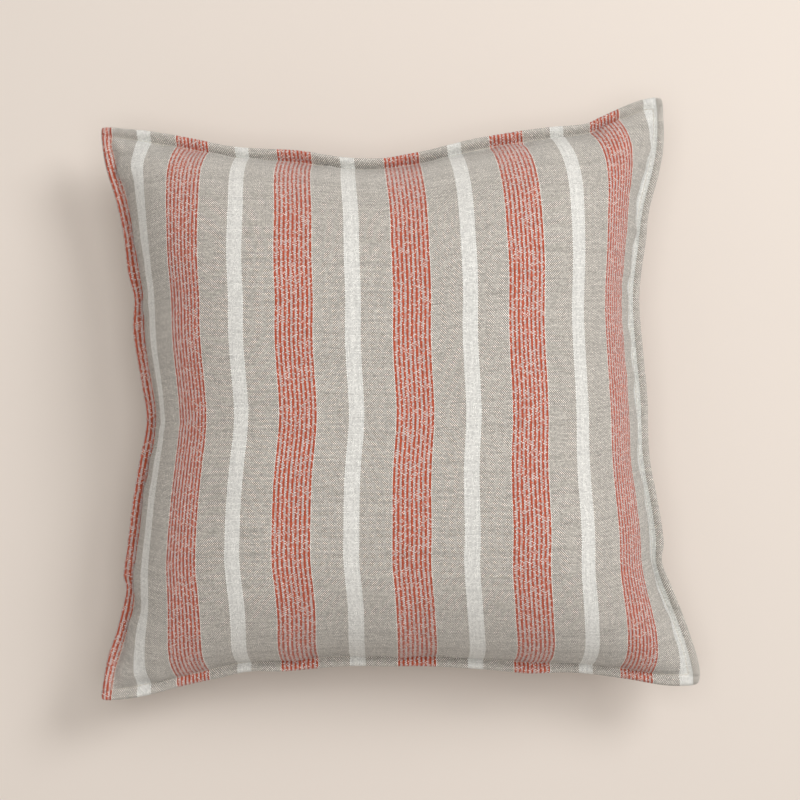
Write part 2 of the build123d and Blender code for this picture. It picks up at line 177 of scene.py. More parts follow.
# %% Crown of the front, belly of the back
SEAM_Z = (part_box("front_panel")[0][2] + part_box("back_panel_upper")[1][2]) / 2
FRONT_HEIGHT = 93 * MM
BACK_DEPTH = 80 * MM
FRONT_CROWN = (4.0, 0.68)
BACK_CROWN = (2.6, 0.75)
zip_joint = next(joint for joint in frame["record"]["behaviour"]["joints"] if joint["name"] == "zip_travel")
_, ZIP_Y, ZIP_CENTRE_Z = zip_joint["pos_m"]
ZIP_DEPTH = 36.5 * MM
ZIP_TILT = math.radians(31)
ZIP_RADIUS = ZIP_CENTRE_Z - (SEAM_Z - ZIP_DEPTH)
ZIP_HALF = 150 * MM
BLEND_ACROSS = (11 * MM, 50 * MM)   # across the zip: the back follows it up to here, and is free beyond
BLEND_PAST = (14 * MM, 62 * MM)     # the same past the ends of the coil
REST_ROUND = 4 * MM          # how softly the back turns up from the floor


def crown(p, q, shape):
    """Relative height of a stuffed square, p and q from -1 to 1 across it."""
    power, sharpness = shape
    return np.maximum((1 - np.abs(p) ** power) * (1 - np.abs(q) ** power), 0) ** sharpness


def fade(value, near, far):
    """1 up to near, 0 beyond far, smooth between."""
    t = np.clip((far - value) / (far - near), 0, 1)
    return t * t * (3 - 2 * t)


CALM_REACH = 55              # reach, in samples, that smooths the kinks out of a stitched side
calm = {name: softened(line, CALM_REACH) for name, line in stitched.items()}
KINK_REACH = 0.09            # how far a kink in the stitches reaches in, as a share of the width


def line_at(line, t):
    """Points at fractions t of the way along a line."""
    at = np.clip(t, 0, 1) * (len(line) - 1)
    return np.stack([np.interp(at, np.arange(len(line)), line[:, k]) for k in range(2)], axis=-1)


def side_at(name, t, away):
    """A stitched side's point, with its small kinks dying out away from it."""
    smooth = line_at(calm[name], t)
    return smooth, (line_at(stitched[name], t) - smooth) * np.exp(-away / KINK_REACH)[..., None]


def plan(p, q):
    """Where a place on the bag lies in plan, blended from the four stitched sides."""
    u, v = (p + 1) / 2, (q + 1) / 2
    U, V = u[..., None], v[..., None]
    bottom, bottom_kink = side_at("bottom", u, v)
    top, top_kink = side_at("top", u, 1 - v)
    left, left_kink = side_at("left", v, u)
    right, right_kink = side_at("right", v, 1 - u)
    sides = bottom * (1 - V) + top * V + left * (1 - U) + right * U
    sides = sides + bottom_kink + top_kink + left_kink + right_kink
    low_left, low_right = stitched["bottom"][0], stitched["bottom"][-1]
    top_left, top_right = stitched["top"][0], stitched["top"][-1]
    corners = (low_left * (1 - U) * (1 - V) + low_right * U * (1 - V)
               + top_left * (1 - U) * V + top_right * U * V)
    return sides - corners


def front_form(p, q):
    """The front's surface over p and q."""
    z = SEAM_Z + FRONT_HEIGHT * crown(p, q, FRONT_CROWN)
    return np.concatenate([plan(p, q), z[..., None]], axis=-1)


def back_form(p, q):
    """The back's surface over p and q, with the zip's even band and the flat where it rests."""
    xy = plan(p, q)
    x, y = xy[..., 0], xy[..., 1]
    z = SEAM_Z - BACK_DEPTH * crown(p, q, BACK_CROWN)
    near = (fade(np.abs(y - ZIP_Y), *BLEND_ACROSS)
            * fade(np.abs(x), ZIP_HALF + BLEND_PAST[0], ZIP_HALF + BLEND_PAST[1]))
    radius = ZIP_RADIUS + (y - ZIP_Y) * math.tan(ZIP_TILT)
    z += (ZIP_CENTRE_Z - np.sqrt(radius ** 2 - x ** 2) - z) * near
    z = 0.5 * (z + np.sqrt(z ** 2 + REST_ROUND ** 2))
    return np.concatenate([xy, z[..., None]], axis=-1)


print("crown at", round((SEAM_Z + FRONT_HEIGHT) / MM, 1), "mm, seam at", round(SEAM_Z / MM, 1), "mm")

# %% [markdown]
# ## Laying the weave over the form
# Woven cloth keeps its yarns the same distance apart, so stripes crowd together on the steep sides
# and lie at their full spacing on top. For each row of the form we measure the way along it, and put
# the yarns at even steps of that way. The cut cloth between the stitches is a square.

# %% Yarns at even steps over the form
CLOTH = 484 * MM             # the cut cloth between the lines of stitches, both ways
NODES = 121                  # grid points each way, about one every 4 mm
SWAY = 0.0105                # the insert has drifted the upper stripes right by this share of the width
SWAY_MIDDLE = 0.42           # where up the pillow that drift is largest, from -1 to 1, and its reach
SWAY_REACH = 0.42
GATHER = {"bottom": 0.015, "top": 0.009, "left": 0.0, "right": 0.0}   # cloth crowded into the corners
GATHER_REACH = 0.15
FINE_PLACES = 501            # look-up places along one row or column of the form
COARSE_LINES = 61            # rows and columns of the form that are measured
PASSES = 14                  # times that rows and columns are brought into line with each other


def crowded(share, amount):
    """Even steps along a side, with the cloth pushed a little from its middle to its ends."""
    return share - amount * np.sin(2 * math.pi * share)


def lay_yarns(form):
    """p and q of each grid point, so that the yarns lie evenly along the form's rows and columns."""
    share = np.linspace(0, 1, NODES)
    fine = -np.cos(np.linspace(0, math.pi, FINE_PLACES))
    coarse = -np.cos(np.linspace(0, math.pi, COARSE_LINES))

    def even_places(points, at):
        run = run_along(points)
        return np.interp(at, run / run[-1], fine)

    def row_steps(q):
        sway = SWAY * math.exp(-((q - SWAY_MIDDLE) / SWAY_REACH) ** 2)
        gather = (GATHER["bottom"] * math.exp(-((q + 1) / GATHER_REACH) ** 2)
                  + GATHER["top"] * math.exp(-((q - 1) / GATHER_REACH) ** 2))
        return crowded(share, gather) + sway * 4 * share * (1 - share)

    p_rows = np.stack([even_places(form(fine, np.full_like(fine, q)), row_steps(q)) for q in coarse])
    q_columns = np.stack([even_places(form(np.full_like(fine, p), fine), share) for p in coarse])
    p = np.tile(2 * share - 1, (NODES, 1))
    q = p.T.copy()
    for _ in range(PASSES):
        new_p = np.stack([np.interp(q[:, i], coarse, p_rows[:, i]) for i in range(NODES)], axis=1)
        new_q = np.stack([np.interp(p[j], coarse, q_columns[:, j]) for j in range(NODES)], axis=0)
        p, q = (p + new_p) / 2, (q + new_q) / 2
    return p, q


front_p, front_q = lay_yarns(front_form)
front_start = front_form(front_p, front_q)
middle_row = front_start[NODES // 2]
middle_length = float(np.linalg.norm(np.diff(middle_row, axis=0), axis=1).sum())
print("middle row of the front:", round(middle_length / MM), "mm of cloth")

# %% [markdown]
# ## Letting the linen settle
# Cloth that is stitched round a fuller shape than its own flat cut wants to buckle: it pulls tight
# across the crown and puckers along the stitches. Blender's Cloth does that for us. Each panel starts
# on the form, remembers the flat square that it was cut as, is pinned along the stitches and is pushed
# out by a little pressure for a few frames. We then limit how far each point has moved, so that the
# folds stay while the pillow keeps its size.

# %% A cloth panel, settled
PRESSURE = 5.0
SETTLE_FRAMES = 24
MOST_MOVE = 5 * MM
ZIP_HELD = 12 * MM           # the zip's tapes hold the cloth still this far to each side
FLOOR_CLEAR = 0.2 * MM       # the cloth stays this far off the floor


def grid_faces(rows, columns, flipped=False):
    """Four-sided faces of a rows by columns grid of points."""
    index = np.arange(rows * columns).reshape(rows, columns)
    corners = [index[:-1, :-1], index[:-1, 1:], index[1:, 1:], index[1:, :-1]]
    faces = np.stack([c.ravel() for c in corners], axis=1)
    return faces[:, ::-1] if flipped else faces


def new_object(name, points, faces):
    """A mesh object from points and faces, in the scene."""
    mesh = bpy.data.meshes.new(name)
    corners = np.asarray(points, float).reshape(-1, 3).tolist()
    mesh.from_pydata(corners, [], [list(map(int, face)) for face in faces])
    mesh.update()
    piece = bpy.data.objects.new(name, mesh)
    bpy.context.scene.collection.objects.link(piece)
    return piece


def settle(start, pinned, name, flipped):
    """The grid of points after the cloth has settled under pressure, with each move limited."""
    rows, columns = start.shape[:2]
    panel = new_object(name, start, grid_faces(rows, columns, flipped))
    flat_x, flat_y = np.meshgrid(np.linspace(0, CLOTH, columns), np.linspace(0, CLOTH, rows))
    flat = np.stack([flat_x, flat_y, np.zeros_like(flat_x)], axis=-1)
    panel.shape_key_add(name="Basis")
    cut = panel.shape_key_add(name="cut_flat")
    cut.data.foreach_set("co", flat.ravel())
    pins = panel.vertex_groups.new(name="stitches")
    pins.add([int(i) for i in np.flatnonzero(pinned.ravel())], 1.0, "REPLACE")
    cloth = panel.modifiers.new("linen", "CLOTH")
    settings = cloth.settings
    settings.quality = 6
    settings.mass = 0.15
    settings.tension_stiffness = settings.compression_stiffness = 25
    settings.shear_stiffness = 6
    settings.bending_stiffness = 0.4
    settings.air_damping = 2
    settings.use_pressure = True
    settings.uniform_pressure_force = PRESSURE
    settings.vertex_group_mass = "stitches"
    settings.rest_shape_key = cut
    settings.effector_weights.gravity = 0
    cloth.collision_settings.use_collision = False
    cloth.point_cache.frame_end = SETTLE_FRAMES
    for step in range(1, SETTLE_FRAMES + 1):
        bpy.context.scene.frame_set(step)
    settled = panel.evaluated_get(bpy.context.evaluated_depsgraph_get()).data
    points = np.empty(rows * columns * 3)
    settled.vertices.foreach_get("co", points)
    bpy.context.scene.frame_set(1)
    bpy.data.objects.remove(panel)
    move = points.reshape(start.shape) - start
    length = np.linalg.norm(move, axis=-1, keepdims=True)
    most, mean = float(length.max()) / MM, float(length.mean()) / MM
    print(name, "moved", round(most, 1), "mm at most,", round(mean, 2), "on average")
    move *= MOST_MOVE / (MOST_MOVE + length)
    return start + move


def rim(rows, columns):
    """True along the four sides of a grid."""
    marked = np.zeros((rows, columns), bool)
    marked[[0, -1], :] = True
    marked[:, [0, -1]] = True
    return marked


front_grid = settle(front_start, rim(NODES, NODES), "front_settling", False)

# %% Settle the back
back_p, back_q = lay_yarns(back_form)
back_start = back_form(back_p, back_q)
beside_zip = np.abs(back_start[..., 1] - ZIP_Y) < ZIP_HELD
on_zip = beside_zip & (np.abs(back_start[..., 0]) < ZIP_HALF + BLEND_PAST[0])
back_grid = settle(back_start, rim(NODES, NODES) | on_zip, "back_settling", True)
back_grid[..., 2] = np.maximum(back_grid[..., 2], FLOOR_CLEAR)

# %% [markdown]
# ## From coarse grid to cloth, and out to the folded edge
# The settled grid is a little coarse, so we put a new point between each two, on a smooth curve
# through their neighbours. Then come the rows of the flange. The linen dips at the stitches, swells
# over the turned-in seam allowance and rolls over at the fold, where front and back meet.

# %% A finer grid
def between(grid, axis):
    """The grid with a point added between each two along one axis, on a smooth curve."""
    grid = np.moveaxis(grid, axis, 0)
    before = np.concatenate([2 * grid[:1] - grid[1:2], grid, 2 * grid[-1:] - grid[-2:-1]])
    added = (9 * (grid[:-1] + grid[1:]) - before[:-3] - before[3:]) / 16
    finer = np.empty((2 * len(grid) - 1,) + grid.shape[1:])
    finer[0::2], finer[1::2] = grid, added
    return np.moveaxis(finer, 0, axis)


def finer(grid):
    """The grid with a point added between each two, both ways."""
    return between(between(grid, 0), 1)


# %% The flange's own rows
FLANGE_STEPS = [0.12, 0.28, 0.5, 0.72, 0.88, 0.97, 1.0]
FLANGE_RISE = [0.8, 2.2, 3.9, 4.2, 3.1, 1.6, 0.0]
TIP_ROUND = 0.2              # how far a corner's tip is drawn in, as a share of the flange's corner
STITCH_RISE = 0.4 * MM
WAVE_SAMPLES = 800
EDGE_WAVES = ((85 * MM, 38 * MM), (2.2 * MM, 1.3 * MM))   # lengths and heights of the edge's ups and downs
FLAT_ENDS = 9                # the waves fade out over one part in this many of a side, at both ends


def slow_waves(count, lengths, heights, seed):
    """A smooth run of ups and downs of several lengths, for count points along a side."""
    chance = np.random.default_rng(seed)
    t = np.linspace(0, CLOTH, count)
    run = np.zeros(count)
    for length, height in zip(lengths, heights):
        knots = max(int(CLOTH / length) + 3, 4)
        values = chance.normal(0, 1, knots)
        at = np.linspace(0, CLOTH, knots)
        line = smooth_line(np.stack([at, values], axis=1), WAVE_SAMPLES)
        run += height * np.interp(t, line[:, 0], line[:, 1])
    return run


# How far each side's folded edge is lifted as a whole, and the seed for its waves.
SIDE_LIFT = {"bottom": -1.0 * MM, "right": 1.0 * MM, "top": 4.5 * MM, "left": 2.0 * MM}
SIDE_SEEDS = {"bottom": 3, "right": 11, "top": 5, "left": 8}


def edge_lift(name, count):
    """How far the folded edge stands above or below the seam plane, along one side."""
    wave = SIDE_LIFT[name] + slow_waves(count, *EDGE_WAVES, SIDE_SEEDS[name])
    ends = np.minimum(np.linspace(0, FLAT_ENDS, count), np.linspace(FLAT_ENDS, 0, count))
    return wave * np.clip(ends, 0, 1)


def folded_points(name, count):
    """The folded edge beside each stitched point of a side, and the two corners of that side."""
    line = edge[name]
    run = run_along(line)
    at = FLANGE + (run[-1] - 2 * FLANGE) * crowded(np.linspace(0, 1, count), GATHER[name])
    xy = np.stack([np.interp(at, run, line[:, k]) for k in range(2)], axis=1)
    return np.concatenate([xy, (SEAM_Z + edge_lift(name, count))[:, None]], axis=1)


def with_flange(grid, way):
    """The panel's grid with flange rows on all four sides; way is 1 for the front, -1 for the back."""
    rows, columns = grid.shape[:2]
    steps = np.array(FLANGE_STEPS)
    rise = np.array(FLANGE_RISE) * MM * way
    extra = len(steps)
    full = np.zeros((rows + 2 * extra, columns + 2 * extra, 3))
    full[extra:-extra, extra:-extra] = grid
    outer = {"bottom": folded_points("bottom", columns), "top": folded_points("top", columns),
             "left": folded_points("left", rows), "right": folded_points("right", rows)}
    inner = {"bottom": grid[0], "top": grid[-1], "left": grid[:, 0], "right": grid[:, -1]}
    for k, (share, lift) in enumerate(zip(steps, rise)):
        strips = {name: inner[name] + share * (outer[name] - inner[name]) for name in outer}
        for name in strips:
            base = SEAM_Z + share * (outer[name][:, 2] - SEAM_Z)
            strips[name][:, 2] = base + lift
        full[extra - 1 - k, extra:-extra] = strips["bottom"]
        full[rows + extra + k, extra:-extra] = strips["top"]
        full[extra:-extra, extra - 1 - k] = strips["left"]
        full[extra:-extra, columns + extra + k] = strips["right"]
    for vertical, row_end in (("bottom", 0), ("top", -1)):
        for side, column_end in (("left", 0), ("right", -1)):
            tip = edge[vertical][column_end]
            near = grid[row_end, column_end]
            across, along = outer[side][row_end], outer[vertical][column_end]
            for a, share_a in enumerate(steps):
                for b, share_b in enumerate(steps):
                    xy = ((1 - share_a) * (1 - share_b) * near[:2] + share_a * (1 - share_b) * across[:2]
                          + (1 - share_a) * share_b * along[:2] + share_a * share_b * tip)
                    xy += TIP_ROUND * (share_a * share_b) ** 2 * (near[:2] - tip)
                    height = min(rise[a] * way, rise[b] * way) * way
                    row = extra - 1 - b if row_end == 0 else rows + extra + b
                    column = extra - 1 - a if column_end == 0 else columns + extra + a
                    full[row, column] = (xy[0], xy[1], SEAM_Z + height)
    return full


# %% [markdown]
# Where the needle pulls the layers together, short puckers run away from the stitches into the panel.
# They are only a finger long, so they are laid on the finer grid by a formula: uneven ridges across
# the stitched line that fade within a couple of centimetres.

# %% Puckers beside the stitches
PUCKER_REACH = 26 * MM
PUCKER_HEIGHT = 1.1 * MM
PUCKER_START = 5 * MM        # they rise from nothing over this distance from the stitches
PUCKER_FALL = 1.5            # how sharply they end
PUCKER_WAVES = ((16 * MM, 9 * MM), (0.8, 0.5))
TINY = 1e-12


def puckered(grid, way, seed):
    """The fine grid with short ridges running in from its four stitched sides."""
    rows, columns = grid.shape[:2]
    along_v = np.linspace(0, CLOTH, rows)
    along_u = np.linspace(0, CLOTH, columns)
    low, left, high, right = (slow_waves(count, *PUCKER_WAVES, seed + k)
                              for k, count in enumerate((columns, rows, columns, rows)))

    def reach_of(distance):
        near = np.clip(distance / PUCKER_START, 0, 1)
        return near * np.exp(-(distance / PUCKER_REACH) ** PUCKER_FALL)

    height = (reach_of(along_v)[:, None] * low[None, :] + reach_of(CLOTH - along_v)[:, None] * high[None, :]
              + reach_of(along_u)[None, :] * left[:, None]
              + reach_of(CLOTH - along_u)[None, :] * right[:, None])
    du = np.gradient(grid, axis=1)
    dv = np.gradient(grid, axis=0)
    normal = np.cross(du, dv)
    normal /= np.maximum(np.linalg.norm(normal, axis=-1, keepdims=True), TINY)
    return grid + way * normal * (height * PUCKER_HEIGHT)[..., None]


def cover_panel(grid, way, seed):
    """The fine grid of a whole panel: puckers, the dip at the stitches and the flange."""
    fine = puckered(finer(grid), way, seed)
    for side in (fine[0], fine[-1], fine[:, 0], fine[:, -1]):
        side[:, 2] = SEAM_Z + way * STITCH_RISE
    return with_flange(fine, way)


def yarn_places(count, extra):
    """How far across the cut cloth each grid line lies, flange included."""
    steps = np.array(FLANGE_STEPS) * FLANGE
    return np.concatenate([-steps[::-1], np.linspace(0, CLOTH, count), CLOTH + steps])


def smooth_shaded(piece):
    """Shade the piece's faces as one smooth surface."""
    piece.data.polygons.foreach_set("use_smooth", [True] * len(piece.data.polygons))


def lay_weave(piece, u, v):
    """Store each point's place on the cut cloth, in metres, as the UV map that the weave reads."""
    layer = piece.data.uv_layers.new(name="weave")
    corners = np.empty(len(piece.data.loops), dtype=np.int64)
    piece.data.loops.foreach_get("vertex_index", corners)
    uv = np.stack([u.ravel()[corners], v.ravel()[corners]], axis=1)
    layer.data.foreach_set("uv", uv.ravel())
    smooth_shaded(piece)


front_cloth = cover_panel(front_grid, 1, 21)
front_lines = yarn_places(2 * NODES - 1, len(FLANGE_STEPS))
front_linen = new_object("front_linen", front_cloth, grid_faces(*front_cloth.shape[:2]))
lay_weave(front_linen, *np.meshgrid(front_lines, front_lines))
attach(front_linen, "cushion")
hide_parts("front_panel")
print("front linen:", len(front_linen.data.polygons), "faces")

# %% [markdown]
# ## The back, in two parts
# The back panel is cut across near its lower edge, both cut edges are folded in, and the zip is sewn
# behind them. We slice each grid column of the settled back where it meets the fold, so both parts
# keep the same weave, and then carry the cloth round the fold and a short way in behind.

# %% Slice the back at the zip
ZIP_GAP = 5.2 * MM           # from the zip's middle to each folded edge, measured along the cloth
CLOSED_GAP = 0.25 * MM       # beyond the zip's ends the two folds touch
FOLDS_SHUT = (3 * MM, 14 * MM)   # past the coil's ends, where the folds start and end closing up
ZIP_SEAM = 2 * MM            # from a fold to its row of stitches
ZIP_SEAM_PAST = 8 * MM       # how far those rows run on past the coil
# The turned-in edge, in millimetres: out past the fold, inwards, and the run of cloth so far.
FOLD_IN = [(0.35, 0.25, 0.4), (0.6, 0.75, 0.9), (0.45, 1.25, 1.5), (-0.6, 1.5, 2.6), (-4.0, 1.6, 6.0)]


def fold_line(x, way):
    """y of the folded edge at each x; way is 1 for the upper part, -1 for the lower."""
    openness = fade(np.abs(x), ZIP_HALF + FOLDS_SHUT[0], ZIP_HALF + FOLDS_SHUT[1])
    return ZIP_Y + way * (CLOSED_GAP + (ZIP_GAP - CLOSED_GAP) * openness) * math.cos(ZIP_TILT)


def back_part(cloth, lines, way, name):
    """The upper or lower part of the back as its own piece."""
    rows, columns = cloth.shape[:2]
    height_at = cloth[..., 1]
    cut_rows = np.zeros(columns)
    for i in range(columns):
        above = height_at[:, i] - fold_line(cloth[:, i, 0], way)
        first = int(np.argmax(above > 0))
        cut_rows[i] = first - above[first] / (above[first] - above[first - 1])
    lower_end, upper_end = (cut_rows, rows - 1) if way > 0 else (0, cut_rows)
    count = int(np.ceil(np.max(np.abs(upper_end - lower_end)))) + 1
    share = np.linspace(0, 1, count)[:, None]
    at = lower_end + (upper_end - lower_end) * share
    below = np.clip(np.floor(at).astype(int), 0, rows - 2)
    part = (at - below)[..., None]
    across = np.arange(columns)[None, :]
    points = cloth[below, across] * (1 - part) + cloth[below + 1, across] * part
    v = lines[below] * (1 - part[..., 0]) + lines[below + 1] * part[..., 0]
    hem_row = 0 if way > 0 else -1
    hem = points[hem_row]
    inward = hem - points[1 if way > 0 else -2]
    inward /= np.linalg.norm(inward, axis=1, keepdims=True)
    along = np.gradient(hem, axis=0)
    up = np.cross(inward, along)
    up /= np.linalg.norm(up, axis=1, keepdims=True)
    up *= np.sign(up[:, 2:3])
    folds = [hem + out * MM * inward + deep * MM * up for out, deep, _ in FOLD_IN]
    fold_v = [v[hem_row] - way * run * MM for _, _, run in FOLD_IN]
    if way > 0:
        points = np.concatenate([np.array(folds)[::-1], points])
        v = np.concatenate([np.array(fold_v)[::-1], v])
    else:
        points = np.concatenate([points, np.array(folds)])
        v = np.concatenate([v, np.array(fold_v)])
    u = np.tile(lines, (len(points), 1))
    piece = new_object(name, points, grid_faces(*points.shape[:2], flipped=True))
    lay_weave(piece, u, v)
    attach(piece, "cushion")
    print(name, "has", len(piece.data.polygons), "faces")
    return piece, hem - ZIP_SEAM * inward, -up


back_cloth = cover_panel(back_grid, -1, 41)
back_cloth[..., 2] = np.maximum(back_cloth[..., 2], FLOOR_CLEAR)
back_upper_linen, upper_row, upper_out = back_part(back_cloth, front_lines, 1, "back_linen_upper")
back_lower_linen, lower_row, lower_out = back_part(back_cloth, front_lines, -1, "back_linen_lower")
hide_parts("back_panel_upper")
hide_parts("back_panel_lower")

# %% [markdown]
# ## Stitches
# A lockstitch shows as a row of short floats of thread, each one dipping into the cloth at both ends.
# One long tube would look like piping. So every stitch is its own small tube, 3.2 mm long, set along
# the line with a short gap, and all the stitches of a seam are one mesh.

# %% Rows of stitches
STITCH = 3.2 * MM
STITCH_GAP = 0.5 * MM
THREAD_RADIUS = 0.27 * MM
TUBE_SIDES = 6
STITCH_START, STITCH_SHARE = 0.07, 0.86   # where a float starts in its step, and how much of it it fills
# Each float's path: the share of its length, and its height off the cloth in millimetres.
STITCH_PATH = [(0.0, -0.30), (0.12, 0.12), (0.35, 0.26), (0.65, 0.26), (0.88, 0.12), (1.0, -0.30)]


def tube(path, radius, sides):
    """Points and faces of a tube along a path of points, closed at both ends."""
    path = np.asarray(path, float)
    along = np.gradient(path, axis=0)
    along /= np.linalg.norm(along, axis=1, keepdims=True)
    guide = np.array([0.31, 0.57, 0.76])   # any direction that no path here runs along
    side = np.cross(along, guide)
    side /= np.linalg.norm(side, axis=1, keepdims=True)
    other = np.cross(along, side)
    turn = np.linspace(0, 2 * math.pi, sides, endpoint=False)
    rings = (path[:, None, :] + radius * (np.cos(turn)[None, :, None] * side[:, None, :]
                                          + np.sin(turn)[None, :, None] * other[:, None, :]))
    faces = []
    for ring in range(len(path) - 1):
        for k in range(sides):
            after = (k + 1) % sides
            faces.append((ring * sides + k, ring * sides + after,
                          (ring + 1) * sides + after, (ring + 1) * sides + k))
    last = (len(path) - 1) * sides
    faces.append(tuple(range(sides))[::-1])
    faces.append(tuple(range(last, last + sides)))
    return rings.reshape(-1, 3), faces


def joined(parts):
    """One list of points and one of faces from many."""
    points, faces, start = [], [], 0
    for part_points, part_faces in parts:
        points.append(part_points)
        faces.extend(tuple(index + start for index in face) for face in part_faces)
        start += len(part_points)
    return np.concatenate(points), faces


def stitches(line, out):
    """Tubes for the stitches along a line; out points away from the cloth at each point of the line."""
    run = run_along(line)
    count = int(run[-1] // (STITCH + STITCH_GAP))
    pitch = run[-1] / count
    made = []
    for k in range(count):
        path = []
        for share, lift in STITCH_PATH:
            at = (k + STITCH_START + STITCH_SHARE * share) * pitch
            place = np.array([np.interp(at, run, line[:, i]) for i in range(3)])
            away = np.array([np.interp(at, run, out[:, i]) for i in range(3)])
            path.append(place + away * lift * MM)
        made.append(tube(path, THREAD_RADIUS, TUBE_SIDES))
    return made


def sewn(name, rows, cad_node):
    """A seam's stitches as one mesh that stands for the measured thread."""
    points, faces = joined([stitch for line, out in rows for stitch in stitches(line, out)])
    piece = new_object(name, points, faces)
    smooth_shaded(piece)
    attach(piece, "cushion")
    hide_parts(cad_node)
    print(name, "has", len(faces), "faces")
    return piece


flange_rows = []
inside = slice(len(FLANGE_STEPS), -len(FLANGE_STEPS))
for cloth, way in ((front_cloth, 1), (back_cloth, -1)):
    panel = cloth[inside, inside]
    for line in (panel[0], panel[-1], panel[:, 0], panel[:, -1]):
        flange_rows.append((line, np.tile([0, 0, way], (len(line), 1))))
flange_stitches = sewn("flange_stitches", flange_rows, "flange_topstitch")

zip_rows = []
for line, out in ((upper_row, upper_out), (lower_row, lower_out)):
    sewn_part = np.abs(line[:, 0]) < ZIP_HALF + ZIP_SEAM_PAST
    zip_rows.append((line[sewn_part], out[sewn_part]))
zip_stitches = sewn("zip_stitches", zip_rows, "zip_stitching")

# %% [markdown]
# ## The zip's coil
# A nylon zip's teeth are one thick filament wound into a flat spiral along each tape, and each turn's
# head sits opposite a gap in the other row. We wind a tube along the same arc that the slider follows,
# half a turn apart on the two sides. The heads stop a hair short of the middle, because the slider has
# a thin post there, which parts the two rows as it passes.

# %% Wind the two coils
COIL_PITCH = 1.35 * MM
COIL_WIRE = 0.33 * MM
COIL_MIDDLE = 1.52 * MM      # from the zip's middle to the middle of a spiral
COIL_REACH = 0.94 * MM       # half its width, to the middle of the filament
COIL_LIFT = -0.45 * MM       # height of its middle, from the cloth's surface outwards
COIL_FLAT = 0.66 * MM
TURN_STEPS = 10


def on_zip_arc(run, across, out):
    """A point by its run along the zip, its way across it and its height outwards."""
    angle = run / ZIP_RADIUS
    radius = ZIP_RADIUS + across * math.sin(ZIP_TILT) + out * math.cos(ZIP_TILT)
    y = ZIP_Y + across * math.cos(ZIP_TILT) - out * math.sin(ZIP_TILT)
    return np.stack([radius * np.sin(angle), y, ZIP_CENTRE_Z - radius * np.cos(angle)], axis=-1)


def coil(name, way, cad_node):
    """One row of the zip: a flattened spiral of filament."""
    turns = int(2 * ZIP_HALF / COIL_PITCH) - 1
    phase = np.linspace(0, 2 * math.pi * turns, turns * TURN_STEPS + 1)
    run = -ZIP_HALF + COIL_PITCH * (phase / (2 * math.pi) + (0.5 if way > 0 else 1.0))
    across = way * (COIL_MIDDLE - COIL_REACH * np.cos(phase))
    out = COIL_LIFT + COIL_FLAT * np.sin(phase)
    points, faces = tube(on_zip_arc(run, across, out), COIL_WIRE, TUBE_SIDES)
    piece = new_object(name, points, faces)
    smooth_shaded(piece)
    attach(piece, "cushion")
    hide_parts(cad_node)
    print(name, "has", turns, "turns")
    return piece


coils = [coil("coil_upper", 1, "zip_coil_upper"), coil("coil_lower", -1, "zip_coil_lower")]

# %% [markdown]
# ## The insert inside
# The insert is never seen while the zip is closed, but it is what makes the pillow a pillow, so it is
# here: two squares of plain ticking and the loose fibre in them. They follow the settled cover a
# few millimetres inside it, with low lumps where the fibre has bunched.

# %% Ticking and filling
INSERT_STEP = 2              # the insert uses every second line of the settled grid
SEAM_SHARE = 0.06            # the insert comes free of its seam over this share of the width
LUMP_WAVES = ((70 * MM, 40 * MM), (0.7, 0.5))
HALF_COVER = 200 * MM


def inside_cover(grid, way, depth, lumps, seed):
    """The panel's grid moved inside by a depth, with soft lumps, closing to its own seam."""
    grid = grid[::INSERT_STEP, ::INSERT_STEP]
    rows, columns = grid.shape[:2]
    normal = np.cross(np.gradient(grid, axis=1), np.gradient(grid, axis=0))
    normal /= np.maximum(np.linalg.norm(normal, axis=-1, keepdims=True), TINY)
    share_v, share_u = np.meshgrid(np.linspace(0, 1, rows), np.linspace(0, 1, columns), indexing="ij")
    rim_share = np.minimum(np.minimum(share_u, 1 - share_u), np.minimum(share_v, 1 - share_v))
    free = np.clip(rim_share / SEAM_SHARE, 0, 1)
    lump_u = slow_waves(columns, *LUMP_WAVES, seed)
    lump_v = slow_waves(rows, *LUMP_WAVES, seed + 1)
    lump = np.abs(lump_u[None, :] * lump_v[:, None]) * lumps
    moved = grid - way * normal * ((depth + lump) * free)[..., None]
    middle = grid.reshape(-1, 3).mean(axis=0)
    moved[..., :2] = middle[:2] + (moved[..., :2] - middle[:2]) * (1 - depth / HALF_COVER)
    moved[..., 2] = np.where(rim_share == 0, SEAM_Z, moved[..., 2])
    return moved


def insert_piece(name, points, faces, cad_node):
    """A padded piece of the insert that stands for a measured one."""
    piece = new_object(name, points, faces)
    smooth_shaded(piece)
    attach(piece, "cushion")
    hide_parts(cad_node)
    return piece


TICKING_DEPTH = 4.0 * MM
FILLING_DEPTH = 5.5 * MM
FILLING_IN = 1.5 * MM        # the filling lies this much deeper than the ticking
SLIDER_ROOM = 2.0 * MM       # the back of the insert lies this much deeper, clear of the zip's slider
TICKING_LUMPS, FILLING_LUMPS = 1.5 * MM, 3 * MM
back_depth = TICKING_DEPTH + SLIDER_ROOM
ticking = {}
for name, grid, way, depth in (("front", front_grid, 1, TICKING_DEPTH), ("back", back_grid, -1, back_depth)):
    points = inside_cover(grid, way, depth, TICKING_LUMPS, 61)
    ticking[name] = insert_piece(f"ticking_{name}", points, grid_faces(*points.shape[:2], flipped=way < 0),
                                 f"insert_{name}")
    lines = np.linspace(0, CLOTH, points.shape[0])
    lay_weave(ticking[name], *np.meshgrid(lines, lines))
fill_top = inside_cover(front_grid, 1, FILLING_DEPTH, FILLING_LUMPS, 71)
fill_bottom = inside_cover(back_grid, -1, back_depth + FILLING_IN, FILLING_LUMPS, 81)
fill_bottom[rim(*fill_bottom.shape[:2])] = fill_top[rim(*fill_top.shape[:2])]
count = fill_top.shape[0]
below = grid_faces(count, count, flipped=True) + count * count
fill_faces = np.concatenate([grid_faces(count, count), below])
